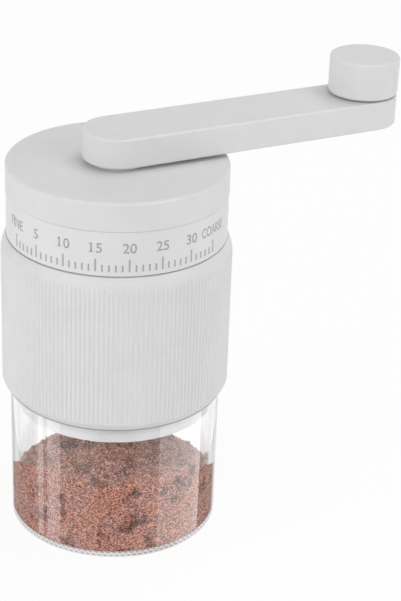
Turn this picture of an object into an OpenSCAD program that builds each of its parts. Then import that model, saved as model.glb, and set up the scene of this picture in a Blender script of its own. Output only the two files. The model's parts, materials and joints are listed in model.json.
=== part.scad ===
// Compact hand coffee grinder: a clear jar, a conical burr unit in a ribbed grip,
// a grind dial, and a lift-off cap that carries the crank and its knob.
// Millimetres, +Z up. The origin is the middle of the jar's flat base, and the crank points along +X.

/* [Burrs] */
// Radius of the cone burr at its base
cone_r = 16; // [15:0.1:18]
// Radius of the cone burr at its tip
cone_tip_r = 7; // [6:0.1:8]
// Height of the cone burr
cone_h = 16.2; // [15:0.1:18]
// Height of the fine grinding zone
fine_h = 4.2; // [3:0.1:5]
// Radius lost over the fine zone
fine_taper = 1.8; // [1:0.1:2.4]
// Radial gap between the burrs at the middle setting
grind_gap = 0.45; // [0.35:0.05:0.8]
// Width of the ring burr beyond the cone's base
ring_wall = 3; // [2.6:0.1:4]
// Height of the ring burr
ring_h = 14; // [12:0.5:16]
// Fine teeth round the cone
fine_teeth = 36; // [24:1:40]
// Coarse flutes round the cone
flutes = 6; // [4:1:8]
// Fine teeth round the ring burr
ring_teeth = 40; // [24:1:44]
// Coarse flutes round the ring burr
ring_flutes = 10; // [6:1:12]
// Lean of the teeth off the burr's axis, in degrees
tooth_lean = 18; // [0:1:25]

/* [Burr housing] */
// Width of the retainer beyond the ring burr
retainer_w = 5.3; // [4.6:0.1:7]
// Thickness of the retainer
retainer_t = 2.2; // [2:0.1:3]
// Wall of the collar round the retainer
collar_wall = 1.3; // [1:0.1:2]
// Depth of the collar's lip below the retainer
collar_lip = 2.3; // [1:0.1:4]
// Reach of the collar into the jar
collar_drop = 15.5; // [14:0.1:17]
// Height of the bean entry above the ring burr
entry_h = 3; // [2:0.1:5]

/* [Jar] */
// Height of the jar
jar_h = 50; // [42:0.5:70]
// Wall of the jar
jar_wall = 1.6; // [1.2:0.1:2.5]
// Floor of the jar
jar_floor = 2.2; // [1.5:0.1:4]
// Radius lost by the jar from its rim to its base
jar_draft = 0.2; // [0:0.05:0.6]
// Gap between the collar and the inside of the jar
collar_gap = 0.75; // [0.4:0.05:1.2]
// Width of the bevel round the jar's base
heel_bevel = 0.35; // [0.2:0.05:0.8]
// Room left between the heap of grounds and the collar above it
heap_room = 5; // [4.5:0.5:20]
// Steepness of the heap of grounds, in degrees
heap_slope = 32; // [20:1:38]
// Lean of the heap of grounds to one side, in degrees
heap_lean = 11; // [0:1:15]

/* [Grip] */
// Gap between the jar and the grip's skirt
skirt_gap = 0.4; // [0.3:0.05:0.8]
// Wall of the grip sleeve
grip_wall = 1.65; // [1.6:0.05:3]
// Reach of the skirt below the jar's rim
grip_drop = 10.8; // [6:0.1:14]
// Height of the bevel at the grip's top
grip_bevel_h = 3.6; // [2:0.1:6]
// Width of the bevel at the grip's top
grip_bevel_w = 1.3; // [0.6:0.05:1.6]
// Radius of the grip's lower edge
grip_edge = 1.5; // [0.5:0.1:1.5]
// Thickness of the grip's top web
grip_web = 2.5; // [1.5:0.1:4]
// Ribs round the grip
rib_count = 156; // [60:2:160]
// Depth of the grooves between the ribs
rib_depth = 0.25; // [0.1:0.05:0.5]

/* [Hopper] */
// Height of the hopper above the burr housing
hopper_h = 38.5; // [36:0.5:55]
// Wall of the hopper tube
hopper_wall = 2.5; // [2:0.1:3]
// Space between the hopper tube and the grip sleeve
sleeve_gap = 3.85; // [3:0.05:5]
// Thickness of the hopper's lower flange
flange_t = 6; // [5:0.5:8]
// Width of a spider arm
spider_w = 4; // [3:0.1:6]
// Height of the spider
spider_h = 6; // [5:0.1:8]

/* [Dial] */
// Wall of the dial ring
dial_wall = 3.92; // [3.6:0.02:6]
// Height of the dial ring
dial_h = 11.4; // [10.5:0.1:14]
// Shadow gap below the dial
dial_gap = 0.5; // [0.3:0.05:0.8]
// Turn of the dial to each side of its middle setting, in degrees
dial_turn = 59; // [40:1:65]
// Rise of the burr for one full turn of the dial
cam_lead = 2; // [1:0.1:2]
// Depth of the cam pins' centres below the hopper's rim
cam_drop = 6.5; // [6:0.1:7]
// Diameter of a cam pin
cam_pin_d = 3; // [2:0.1:3.2]

/* [Shaft] */
// Diameter of the drive shaft
shaft_d = 8; // [7:0.1:8]
// Size of the shaft's hexagon end across flats
hex_af = 6.8; // [6:0.1:6.8]
// Outside diameter of the shaft bearing
bearing_d = 16; // [15:0.1:18]
// Height of the shaft bearing
bearing_h = 5; // [4:0.1:5]
// Balls in the bearing
ball_count = 9; // [7:1:9]
// Curls of the preload spring
spring_turns = 7; // [5:1:8]
// Wire diameter of the preload spring
spring_wire = 1; // [0.6:0.1:1.2]

/* [Cap] */
// Height of the cap above the hopper's rim
cap_h = 7.5; // [6.5:0.1:12]
// How far the cap stands out beyond the dial
cap_proud = 0.1; // [0:0.05:0.5]
// Radius of the cap's top edge
cap_edge = 0.8; // [0.3:0.1:2]
// Thickness of the cap's top
cap_t = 3; // [2:0.1:4]
// Depth of the cap's plug in the hopper
plug_h = 2.3; // [2:0.1:2.5]

/* [Crank] */
// Distance from the main axis to the knob's axis
crank_reach = 71.8; // [55:0.1:90]
// Width of the crank arm
arm_w = 18.38; // [16:0.02:24]
// Thickness of the crank arm
arm_t = 7.9; // [7:0.1:12]
// Gap between the cap and the crank arm
arm_gap = 0.85; // [0.6:0.05:1.5]
// Radius of the crank arm's edges
arm_edge = 0.6; // [0.2:0.1:1.2]
// Diameter of the crank's hub
hub_d = 12; // [12:0.1:14]

/* [Knob] */
// Diameter of the knob
knob_d = 18.58; // [16:0.02:26]
// Height of the knob
knob_h = 10.05; // [9:0.05:20]
// Gap between the crank arm and the knob
knob_gap = 0.4; // [0.3:0.05:0.8]
// Radius of the knob's edges
knob_edge = 0.7; // [0.2:0.1:1.5]
// Diameter of the knob's axle
axle_d = 6; // [4:0.1:7]

/* [Fits] */
// Radial clearance of a running fit
run_gap = 0.08; // [0.04:0.01:0.1]
// Radial clearance of a fixed fit
fit_gap = 0.03; // [0.02:0.01:0.05]
// Clearance between faces that only pass each other
free_gap = 0.3; // [0.2:0.05:0.4]
// Gap at the seam between the cap and the dial
seam_gap = 0.2; // [0.15:0.05:0.4]

/* [Hidden] */
$fn = 96;
// Overlap that keeps two cuts from sharing a face
tiny = 0.01;
// How far a cut runs on past the faces that it opens
cut_over = 1;

// Radii, from the burrs outwards
ring_r = cone_r + ring_wall;
retainer_r = ring_r + retainer_w;
collar_r = retainer_r + collar_wall;
jar_bore_r = collar_r + collar_gap;
jar_r = jar_bore_r + jar_wall;
skirt_r = jar_r + skirt_gap;
grip_r = skirt_r + grip_wall;
tube_r = skirt_r - sleeve_gap;
tube_bore_r = tube_r - hopper_wall;
dial_bore_r = tube_r + run_gap;
dial_r = dial_bore_r + dial_wall;
cap_r = dial_r + cap_proud;
flange_r = skirt_r - fit_gap;

// Heights, from the jar's rim down to the collar and up to the knob
collar_z = jar_h - collar_drop;
retainer_z = collar_z + collar_lip;
ring_z = retainer_z + retainer_t;
ring_top = ring_z + ring_h;
housing_top = ring_top + entry_h;
tube_top = housing_top + hopper_h;
dial_top = tube_top - seam_gap;
dial_z = dial_top - dial_h;
grip_z = jar_h - grip_drop;
grip_top = dial_z - dial_gap;
cap_top = tube_top + cap_h;
arm_z = cap_top + arm_gap;
arm_top = arm_z + arm_t;
knob_z = arm_top + knob_gap;
knob_top = knob_z + knob_h;

// Burrs: the cone stands a little above the ring burr's lower face
cone_stand = 0.8;
cone_z = ring_z + cone_stand;
cone_top = cone_z + cone_h;
fine_r = cone_r - fine_taper;
fine_slope = fine_taper / fine_h;
ring_bore_r = cone_r + grind_gap + cone_stand * fine_slope;
ring_neck_z = cone_z + fine_h;
ring_neck_r = fine_r + grind_gap;
ring_rim = 2.5;
ring_mouth_r = ring_r - ring_rim;

// Depths of the teeth, and the square bits that mill them
fine_depth = 0.9;
fine_bit = 1.5;
flute_depth = 2.4;
flute_bit = 4.4;
ring_tooth_depth = 0.5;
ring_tooth_bit = 1.2;
ring_flute_depth = 1.2;
ring_flute_bit = 2.4;

// Rounds inside the jar's floor and along the dial's edges
floor_edge = 1.2;
dial_edge = 0.3;

// Ground coffee heaped in the jar, banked up to one side
grounds_gap = 0.15;
heap_round = 6;
heap_turn = -118;
heap_z = collar_z - heap_room;

// Seal between the collar and the jar
seal_wire = 1.8;
seal_drop = 6;
seal_z = jar_h - seal_drop;
seal_r = jar_bore_r - jar_draft * seal_drop / jar_h - fit_gap - seal_wire / 2;

// Three long screws that clamp the retainer, the ring burr and the housing to the hopper
screw_count = 3;
screw_turn = 30;
screw_d = 2;
screw_head_d = 3.8;
screw_head_h = 1.3;
screw_sink = 0.1;
screw_key_af = 1.5;
screw_key_h = 0.8;
screw_bite = 5;
screw_tail = 0.5;
screw_ring_r = ring_r + retainer_w / 2;

// Hopper's funnel and the shelf that carries the grip's web
funnel_step = 1;
funnel_r = ring_r - funnel_step;
ledge_w = 1.8;
ledge_r = tube_bore_r - ledge_w;
shelf_t = 2.5;
shelf_z = grip_top - grip_web;

// Spider and bush that steady the shaft above the burrs
shaft_r = shaft_d / 2;
spider_arms = 3;
spider_hub_wall = 2.5;
spider_rim = 0.8;
spider_z = housing_top + flange_t;
spider_top = spider_z + spider_h;
spider_r = tube_bore_r - fit_gap;
bush_wall = 2;
bush_foot = 0.4;
bush_lip_w = 1.2;
bush_lip_t = 1;
bush_r = shaft_r + run_gap + bush_wall;
bush_lip_r = bush_r + bush_lip_w;
bush_top = spider_top + bush_lip_t;
spider_hub_r = bush_r + fit_gap + spider_hub_wall;

// Carrier that the dial raises and lowers, with the bearing that holds the shaft
cam_bite = 1.7;
cam_play = 0.15;
cam_steps = 24;
cam_z = tube_top - cam_drop;
cam_pin_r = cam_pin_d / 2;
cam_pin_out = dial_bore_r + cam_bite;
cam_pin_slack = 0.3;
cam_pin_in = cam_pin_out - bearing_d + cam_pin_slack;
cam_rise = cam_lead * dial_turn / 360;
slot_h = cam_pin_d + 2 * (cam_rise + free_gap);
slot_w = cam_pin_d + 2 * free_gap;
bearing_drop = 3;
bearing_z = cam_z - bearing_drop;
bearing_top = bearing_z + bearing_h;
bearing_mid_z = (bearing_z + bearing_top) / 2;
carrier_wall = 3;
carrier_floor = 1.5;
carrier_rim = 1.2;
carrier_arm_side = 2.5;
carrier_arm_cover = 1.3;
carrier_r = tube_bore_r - free_gap;
carrier_arm_w = cam_pin_d + 2 * carrier_arm_side;
carrier_arm_h = cam_pin_d + 2 * carrier_arm_cover;
carrier_hub_r = bearing_d / 2 + fit_gap + carrier_wall;
carrier_z = bearing_z - carrier_floor;
carrier_top = bearing_top + carrier_rim;

// Bearing rings and balls, and the shaft's shoulder below them
race_mid_r = (shaft_r + bearing_d / 2) / 2;
ball_r = (bearing_d / 2 - shaft_r) * 0.3;
race_gap = ball_r * 0.55;
shoulder_w = 1.2;
shoulder_h = 1.2;
shoulder_r = shaft_r + shoulder_w;

// Shaft ends: a hexagon for the crank's socket, and two flats and a thread for the cone burr
hex_rise = 1.3;
hex_reach = 3;
hex_z = bearing_top + hex_rise;
hex_top = tube_top + hex_reach;
shaft_step = 0.5;
drive_r = shaft_r - shaft_step;
drive_af = 2 * (drive_r - shaft_step);
thread_r = drive_r - shaft_step;
thread_tail = 0.5;
burr_washer_t = 1;
burr_washer_r = 8;
nut_af = 10;
nut_h = 3.5;
nut_z = cone_z - burr_washer_t - nut_h;
shaft_z = nut_z - thread_tail;

// Open rings that snap into grooves
clip_t = 0.8;
clip_play = 0.1;
clip_depth = 0.5;
clip_w = 2;
clip_mouth = 40;
shaft_clip_z = bearing_top + clip_play / 2;
dial_clip_drop = 2.55;
dial_clip_w = 1.7;
dial_clip_z = tube_top - dial_clip_drop;
dial_clip_r = tube_r + dial_clip_w;
dial_recess_sink = 0.25;
dial_recess_gap = 0.4;
dial_recess_z = dial_clip_z - dial_recess_sink;
dial_recess_r = dial_clip_r + dial_recess_gap;
dial_washer_step = 1;
dial_washer_play = 0.1;

// Spring round the shaft that holds the spider down and takes up the play of the cam
spring_side = 2.2;
spring_play = 0.05;
spring_r = shaft_r + spring_side;
spring_z = bush_top + spring_wire / 2 + spring_play;
spring_rise = carrier_z - bush_top - spring_wire - 2 * spring_play;
spring_rings = 8;
spring_sides = 6;

// Cap and its bush
hub_r = hub_d / 2;
cap_bush_wall = 2;
cap_bush_lip_w = 1.5;
cap_bush_lip_t = 1;
cap_boss_wall = 3;
cap_boss_gap = 0.4;
cap_bush_r = hub_r + run_gap + cap_bush_wall;
cap_bush_lip_r = cap_bush_r + cap_bush_lip_w;
cap_boss_r = cap_bush_r + cap_boss_wall;
cap_boss_z = tube_top + cap_boss_gap;
cap_bush_z = cap_boss_z - cap_bush_lip_t;
cap_wall = 2.4;
plug_wall = 2.2;
plug_r = tube_bore_r - free_gap;
plug_z = tube_top - plug_h;
cap_seal_wire = 1.2;
cap_seal_z = tube_top - plug_h / 2;
cap_seal_r = tube_bore_r - fit_gap - cap_seal_wire / 2;
washer_w = 1.35;
washer_play = 0.05;

// Crank's hub, its clip and its screw
hub_clip_play = 0.05;
hub_clip_z = cap_bush_z - clip_play - clip_t - hub_clip_play;
hub_tail = 0.95;
hub_z = hub_clip_z - hub_tail;
hub_key_af = 0.8 * hub_d;
hub_key_h = 3;
socket_af = hex_af + 2 * run_gap;
socket_top = hex_top + cam_rise + free_gap;
hub_screw_d = 3;
hub_screw_head_d = 6.4;
hub_screw_head_h = 2;
hub_screw_key_af = 2.5;
hub_screw_key_h = 1.2;
hub_screw_cover = 2;
hub_screw_tail = 0.3;
hub_screw_seat = socket_top + hub_screw_head_h;
hub_screw_tip = arm_top - hub_screw_cover;

// Knob, its bush and its axle
knob_r = knob_d / 2;
arm_r = arm_w / 2;
axle_r = axle_d / 2;
axle_head_w = 2;
axle_head_h = 2;
axle_head_sink = 0.2;
axle_tail = 1.5;
axle_head_r = axle_r + axle_head_w;
axle_head_z = arm_z + axle_head_sink;
axle_head_top = axle_head_z + axle_head_h;
knob_roof = 2.2;
knob_clip_drop = 2;
knob_clip_z = knob_top - knob_roof - knob_clip_drop;
axle_top = knob_clip_z + axle_tail;
knob_bush_wall = 3;
knob_bush_foot = 0.1;
knob_bush_play = 0.15;
knob_washer_step = 0.5;
knob_bush_r = axle_r + knob_bush_wall;
knob_bush_z = knob_z + knob_bush_foot;
knob_bush_top = knob_clip_z - knob_bush_play;

// Points of a quarter round from angle a0 to a1, in the plane of a profile
function arc(cx, cy, r, a0, a1, steps = 6) =
    [for (i = [0:steps]) let (a = a0 + (a1 - a0) * i / steps) [cx + r * cos(a), cy + r * sin(a)]];

// Ring with a square section, from radius r0 to r1 and height z0 to z1
module band(r0, r1, z0, z1) {
    rotate_extrude() translate([r0, z0]) square([r1 - r0, z1 - z0]);
}

// Round cord bent into a ring
module cord_ring(r, wire, z) {
    translate([0, 0, z]) rotate_extrude() translate([r, 0]) circle(d = wire);
}

// Snap ring with an open mouth, facing +X before it is turned
module snap_ring(r0, r1, z) {
    translate([0, 0, z])
        rotate([0, 0, clip_mouth / 2])
            rotate_extrude(angle = 360 - clip_mouth) translate([r0, 0]) square([r1 - r0, clip_t]);
}

// Groove for a snap ring on a shaft of radius r1
module snap_groove(r0, r1, z) {
    band(r0, r1 + cut_over, z - clip_play / 2, z + clip_t + clip_play / 2);
}

// Hexagon bar, given across its flats
module hex_bar(af, z0, z1) {
    translate([0, 0, z0]) cylinder(d = af / cos(30), h = z1 - z0, $fn = 6);
}

// Round bar with two flats
module flat_bar(r, af, z0, z1) {
    translate([0, 0, z0])
        linear_extrude(z1 - z0)
            intersection() {
                circle(r);
                square([2 * r + cut_over, af], center = true);
            }
}

// Places its children at the clamp screws
module at_screws() {
    for (i = [0:screw_count - 1])
        rotate([0, 0, screw_turn + i * 360 / screw_count]) translate([screw_ring_r, 0, 0]) children();
}

// Milled V grooves: square bits that run from (r0, z0) to (r1, z1), laid over sideways by the lean
module tooth_bits(count, bit, r0, z0, r1, z1, lean) {
    run = z1 - z0;
    tilt = atan((r1 - r0) / run);
    length = run / cos(tilt) / cos(lean);
    for (i = [0:count - 1])
        rotate([0, 0, i * 360 / count])
            translate([(r0 + r1) / 2, 0, (z0 + z1) / 2])
                rotate([lean, tilt, 0])
                    linear_extrude(length * 1.3, center = true) rotate(45) square(bit, center = true);
}

// Groove that climbs round the dial's bore, for one cam pin
module cam_groove(middle) {
    half = dial_turn + asin((cam_pin_r + free_gap) / dial_bore_r);
    r0 = dial_bore_r - cut_over;
    r1 = cam_pin_out + free_gap;
    h = cam_pin_r + cam_play;
    ring = [[r0, -h], [r1, -h], [r1, h], [r0, h]];
    points = [
        for (i = [0:cam_steps], p = ring)
            let (a = half * (2 * i / cam_steps - 1))
                [p[0] * cos(middle + a), p[0] * sin(middle + a), cam_z + p[1] - cam_lead * a / 360]
    ];
    sides = [
        for (i = [0:cam_steps - 1], j = [0:3], second = [0, 1])
            let (a = 4 * i + j, b = 4 * i + (j + 1) % 4)
                second == 0 ? [a, b, a + 4] : [b, b + 4, a + 4]
    ];
    last = 4 * cam_steps;
    ends = [[0, 2, 1], [0, 3, 2], [last, last + 1, last + 2], [last, last + 2, last + 3]];
    polyhedron(points, concat(sides, ends));
}

// Clear jar with a drafted wall and a rounded floor
module jar() {
    base_r = jar_r - jar_draft;
    inside_r = jar_bore_r - jar_draft;
    color([0.85, 0.88, 0.9, 0.35])
        rotate_extrude()
            polygon(concat(
                [
                    [0, 0], [base_r - heel_bevel, 0], [base_r, 2 * heel_bevel],
                    [jar_r, jar_h], [jar_bore_r, jar_h]
                ],
                arc(inside_r - floor_edge, jar_floor + floor_edge, floor_edge, 0, -90),
                [[0, jar_floor]]
            ));
}

// Heap of grounds: a rounded cone that leans over, cut to the space inside the jar
module coffee_grounds() {
    inside_r = jar_bore_r - jar_draft - grounds_gap;
    spread = 2 * jar_bore_r;
    depth = jar_h + spread;
    round_x = heap_round * sin(heap_slope);
    round_z = heap_round * (cos(heap_slope) - 1);
    color([0.45, 0.27, 0.2])
        intersection() {
            rotate_extrude()
                polygon(concat(
                    [[0, jar_floor]],
                    arc(inside_r - floor_edge, jar_floor + floor_edge, floor_edge, -90, 0),
                    [[inside_r + jar_draft, jar_h], [0, jar_h]]
                ));
            translate([0, 0, heap_z])
                rotate([0, -heap_lean, heap_turn])
                    rotate_extrude()
                        polygon(concat(
                            [
                                [0, -depth], [spread, -depth],
                                [spread, round_z - (spread - round_x) * tan(heap_slope)]
                            ],
                            arc(0, -heap_round, heap_round, 90 - heap_slope, 90)
                        ));
        }
}

// Ribbed sleeve for the hand; its skirt hides the jar's rim
module grip_sleeve() {
    groove_w = 2 * PI * grip_r / rib_count * 0.7;
    color("gainsboro")
        difference() {
            rotate_extrude()
                polygon(concat(
                    [[skirt_r, grip_z]],
                    arc(grip_r - grip_edge, grip_z + grip_edge, grip_edge, -90, 0),
                    [
                        [grip_r, grip_top - grip_bevel_h],
                        [grip_r - grip_bevel_w, grip_top],
                        [tube_r + fit_gap, grip_top],
                        [tube_r + fit_gap, grip_top - grip_web],
                        [skirt_r, grip_top - grip_web]
                    ]
                ));
            for (i = [0:rib_count - 1])
                rotate([0, 0, i * 360 / rib_count])
                    translate([grip_r, 0, grip_z - cut_over])
                        linear_extrude(grip_top - grip_z + cut_over)
                            polygon([[-rib_depth, 0], [tiny, -groove_w / 2], [tiny, groove_w / 2]]);
        }
}

// Bean hopper: a tube with a funnel, a ledge for the spider, and two flanges that the grip slides over
module hopper() {
    color("whitesmoke")
        difference() {
            rotate_extrude()
                polygon([
                    [funnel_r, housing_top], [flange_r, housing_top],
                    [flange_r, housing_top + flange_t], [tube_r, housing_top + flange_t],
                    [tube_r, shelf_z - shelf_t], [flange_r, shelf_z - shelf_t],
                    [flange_r, shelf_z], [tube_r, shelf_z],
                    [tube_r, tube_top], [tube_bore_r, tube_top],
                    [tube_bore_r, spider_z], [ledge_r, spider_z]
                ]);
            at_screws()
                translate([0, 0, housing_top - cut_over])
                    cylinder(d = screw_d + 2 * fit_gap, h = cut_over + screw_bite + screw_tail);
            snap_groove(tube_r - clip_depth, tube_r, dial_clip_z);
            for (side = [-1, 1])
                translate([0, side * tube_r, cam_z])
                    cube([slot_w, 3 * hopper_wall, slot_h], center = true);
        }
}

// Burr housing: the flange over the jar's rim and the collar that reaches into the jar
module burr_housing() {
    groove_r = seal_r - seal_wire / 2 - fit_gap;
    groove_h = seal_wire / 2 + run_gap;
    color("whitesmoke")
        difference() {
            rotate_extrude()
                polygon([
                    [retainer_r + fit_gap, collar_z], [collar_r, collar_z],
                    [collar_r, seal_z - groove_h], [groove_r, seal_z - groove_h],
                    [groove_r, seal_z + groove_h], [collar_r, seal_z + groove_h],
                    [collar_r, jar_h], [flange_r, jar_h],
                    [flange_r, housing_top], [funnel_r, housing_top],
                    [funnel_r, ring_top], [ring_r + fit_gap, ring_top],
                    [ring_r + fit_gap, ring_z], [retainer_r + fit_gap, ring_z]
                ]);
            at_screws()
                translate([0, 0, collar_z])
                    cylinder(d = screw_d + 2 * run_gap, h = housing_top - collar_z + cut_over);
        }
}

// Fixed ring burr: coarse flutes lead the beans down from its mouth to the fine teeth below its neck
module ring_burr() {
    tooth_in = ring_tooth_depth - ring_tooth_bit * sqrt(0.5);
    flute_in = ring_flute_depth - ring_flute_bit * sqrt(0.5);
    color("silver")
        difference() {
            rotate_extrude()
                polygon([
                    [ring_bore_r, ring_z], [ring_r, ring_z], [ring_r, ring_top],
                    [ring_mouth_r, ring_top], [ring_neck_r, ring_neck_z]
                ]);
            tooth_bits(
                ring_teeth, ring_tooth_bit,
                ring_bore_r + tooth_in, ring_z,
                ring_neck_r + tooth_in, ring_neck_z,
                -tooth_lean
            );
            tooth_bits(
                ring_flutes, ring_flute_bit,
                ring_neck_r + flute_in, ring_neck_z,
                ring_mouth_r + flute_in, ring_top,
                -tooth_lean
            );
        }
}

// Plate that holds the ring burr up, with sunk seats for the screw heads
module burr_retainer() {
    head_seat_h = screw_sink + screw_head_h;
    color("lightgray")
        difference() {
            band(ring_bore_r + free_gap, retainer_r, retainer_z, ring_z);
            at_screws()
                translate([0, 0, retainer_z - cut_over]) {
                    cylinder(d = screw_d + 2 * run_gap, h = retainer_t + 2 * cut_over);
                    cylinder(d = screw_head_d + 2 * run_gap, h = cut_over + head_seat_h);
                }
        }
}

// Clamp screws with hexagon sockets in their heads
module body_screws() {
    head_z = retainer_z + screw_sink;
    head_top = head_z + screw_head_h;
    color("dimgray")
        at_screws()
            difference() {
                union() {
                    translate([0, 0, head_z]) cylinder(d = screw_head_d, h = screw_head_h);
                    translate([0, 0, head_top])
                        cylinder(d = screw_d, h = housing_top + screw_bite - head_top);
                }
                hex_bar(screw_key_af, head_z - cut_over, head_z + screw_key_h);
            }
}

// Soft ring that holds the jar on the collar
module jar_seal() {
    color("white") cord_ring(seal_r, seal_wire, seal_z);
}

// Spider that steadies the shaft: a hub, arms, and a rim on the hopper's ledge that carries its funnel on up
module bearing_spider() {
    color("whitesmoke")
        difference() {
            union() {
                rotate_extrude()
                    polygon([
                        [ledge_r, spider_z], [spider_r, spider_z],
                        [spider_r, spider_top], [spider_r - spider_rim, spider_top]
                    ]);
                translate([0, 0, spider_z]) cylinder(r = spider_hub_r, h = spider_h);
                for (i = [0:spider_arms - 1])
                    rotate([0, 0, i * 360 / spider_arms])
                        translate([0, -spider_w / 2, spider_z])
                            cube([spider_r - spider_rim / 2, spider_w, spider_h]);
            }
            translate([0, 0, spider_z - cut_over])
                cylinder(r = bush_r + fit_gap, h = spider_h + 2 * cut_over);
        }
}

// Plain bush in the spider, with a lip that seats the spring
module lower_bush() {
    foot_z = spider_z - bush_foot;
    color("goldenrod")
        difference() {
            union() {
                translate([0, 0, foot_z]) cylinder(r = bush_r, h = spider_top - foot_z);
                translate([0, 0, spider_top]) cylinder(r = bush_lip_r, h = bush_lip_t);
            }
            translate([0, 0, foot_z - cut_over])
                cylinder(r = shaft_r + run_gap, h = bush_top - foot_z + 2 * cut_over);
        }
}

// Slip ring between the grip and the dial
module dial_washer() {
    outer_r = grip_r - grip_bevel_w - dial_washer_step;
    color("ivory") band(tube_r + fit_gap, outer_r, grip_top, dial_z - dial_washer_play);
}

// Snap ring that keeps the dial on the hopper
module dial_clip() {
    color("gray") rotate([0, 0, 180]) snap_ring(tube_r - clip_depth + fit_gap, dial_clip_r, dial_clip_z);
}

// Grind dial with two climbing cam grooves in its bore
module dial_ring() {
    color("gainsboro")
        difference() {
            rotate_extrude()
                polygon([
                    [dial_bore_r, dial_z], [dial_r - dial_edge, dial_z], [dial_r, dial_z + dial_edge],
                    [dial_r, dial_top - dial_edge], [dial_r - dial_edge, dial_top], [dial_recess_r, dial_top],
                    [dial_recess_r, dial_recess_z], [dial_bore_r, dial_recess_z]
                ]);
            cam_groove(90);
            cam_groove(270);
        }
}

// Bridge across the hopper that carries the shaft's bearing
module shaft_carrier() {
    color("lightgray")
        difference() {
            union() {
                translate([0, 0, carrier_z]) cylinder(r = carrier_hub_r, h = carrier_top - carrier_z);
                intersection() {
                    translate([0, 0, cam_z])
                        cube([carrier_arm_w, 3 * carrier_r, carrier_arm_h], center = true);
                    translate([0, 0, carrier_z]) cylinder(r = carrier_r, h = carrier_top - carrier_z);
                }
            }
            translate([0, 0, carrier_z - cut_over])
                cylinder(r = shoulder_r + free_gap, h = carrier_floor + 2 * cut_over);
            translate([0, 0, bearing_z]) cylinder(r = bearing_d / 2 + fit_gap, h = carrier_top);
            translate([0, 0, cam_z])
                rotate([90, 0, 0])
                    cylinder(r = cam_pin_r + fit_gap, h = 3 * carrier_r, center = true);
        }
}

// Two cam pins, slid out through the carrier before its bearing goes in
module cam_pins() {
    color("slategray")
        for (side = [-1, 1])
            translate([0, side * cam_pin_in, cam_z])
                rotate([-90 * side, 0, 0]) cylinder(r = cam_pin_r, h = cam_pin_out - cam_pin_in);
}

// One ring of the ball bearing, with the track of the balls
module bearing_race(r0, r1) {
    difference() {
        band(r0, r1, bearing_z, bearing_top);
        cord_ring(race_mid_r, 2 * (ball_r + fit_gap), bearing_mid_z);
    }
}

module bearing_outer_race() {
    color("silver") bearing_race(race_mid_r + race_gap, bearing_d / 2);
}

module bearing_inner_race() {
    color("silver") bearing_race(shaft_r + fit_gap / 2, race_mid_r - race_gap);
}

module bearing_balls() {
    color("silver")
        for (i = [0:ball_count - 1])
            rotate([0, 0, i * 360 / ball_count])
                translate([race_mid_r, 0, bearing_mid_z]) sphere(ball_r);
}

// Preload spring: one round wire that climbs from the bush's lip to the carrier
function spring_point(i) =
    let (t = i / (spring_rings * spring_turns), a = 360 * spring_turns * t)
        [spring_r * cos(a), spring_r * sin(a), spring_z + spring_rise * t];

spring_path = [for (i = [0:spring_rings * spring_turns]) spring_point(i)];
spring_gap = min([
    for (i = [0:len(spring_path) - 1], j = [i + spring_rings - 1:1:len(spring_path) - 1])
        norm(spring_path[i] - spring_path[j])
]) - spring_wire;
echo(spring_gap = spring_gap);

module preload_spring() {
    n = spring_sides;
    last = len(spring_path) - 1;
    points = [
        for (i = [0:last], j = [0:n - 1])
            let (c = spring_path[i], out = [c[0], c[1], 0] / spring_r, b = 360 * j / n)
                c + spring_wire / 2 * (cos(b) * out + [0, 0, sin(b)])
    ];
    sides = [
        for (i = [0:last - 1], j = [0:n - 1], second = [0, 1])
            let (a = n * i + j, b = n * i + (j + 1) % n)
                second == 0 ? [a, b, a + n] : [b, b + n, a + n]
    ];
    ends = [
        for (j = [1:n - 2], end = [0, 1])
            end == 0 ? [0, j + 1, j] : [n * last, n * last + j, n * last + j + 1]
    ];
    color("steelblue") polyhedron(points, concat(sides, ends));
}

// Drive shaft: hexagon above, bearing shoulder, round journal, flats and thread below
module drive_shaft() {
    color("silver")
        difference() {
            union() {
                translate([0, 0, cone_top]) cylinder(r = shaft_r, h = hex_z - cone_top);
                translate([0, 0, bearing_z - shoulder_h]) cylinder(r = shoulder_r, h = shoulder_h);
                hex_bar(hex_af, hex_z, hex_top);
                flat_bar(drive_r, drive_af, cone_z, cone_top);
                translate([0, 0, shaft_z]) cylinder(r = thread_r, h = cone_z - shaft_z);
            }
            snap_groove(shaft_r - clip_depth, shaft_r, shaft_clip_z);
        }
}

// Snap ring above the bearing's inner ring
module shaft_clip() {
    color("gray") snap_ring(shaft_r - clip_depth + fit_gap, shaft_r + clip_w, shaft_clip_z);
}

// Cone burr: coarse flutes break the beans, fine teeth at the base grind them
module cone_burr() {
    color("silver")
        difference() {
            rotate_extrude()
                polygon([
                    [0, cone_z], [cone_r, cone_z], [fine_r, cone_z + fine_h],
                    [cone_tip_r, cone_top], [0, cone_top]
                ]);
            tooth_bits(
                fine_teeth, fine_bit,
                cone_r - fine_depth + fine_bit * sqrt(0.5), cone_z,
                fine_r + fine_bit * sqrt(0.5), cone_z + fine_h,
                tooth_lean
            );
            tooth_bits(
                flutes, flute_bit,
                fine_r + flute_bit * sqrt(0.5), cone_z + fine_h,
                cone_tip_r - flute_depth + flute_bit * sqrt(0.5), cone_top,
                tooth_lean
            );
            flat_bar(drive_r + fit_gap, drive_af + 2 * fit_gap, cone_z - cut_over, cone_top + cut_over);
        }
}

module burr_washer() {
    color("gray") band(thread_r + fit_gap, burr_washer_r, cone_z - burr_washer_t, cone_z);
}

module burr_nut() {
    color("gray")
        difference() {
            hex_bar(nut_af, nut_z, nut_z + nut_h);
            translate([0, 0, nut_z - cut_over]) cylinder(r = thread_r + fit_gap, h = nut_h + 2 * cut_over);
        }
}

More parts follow.
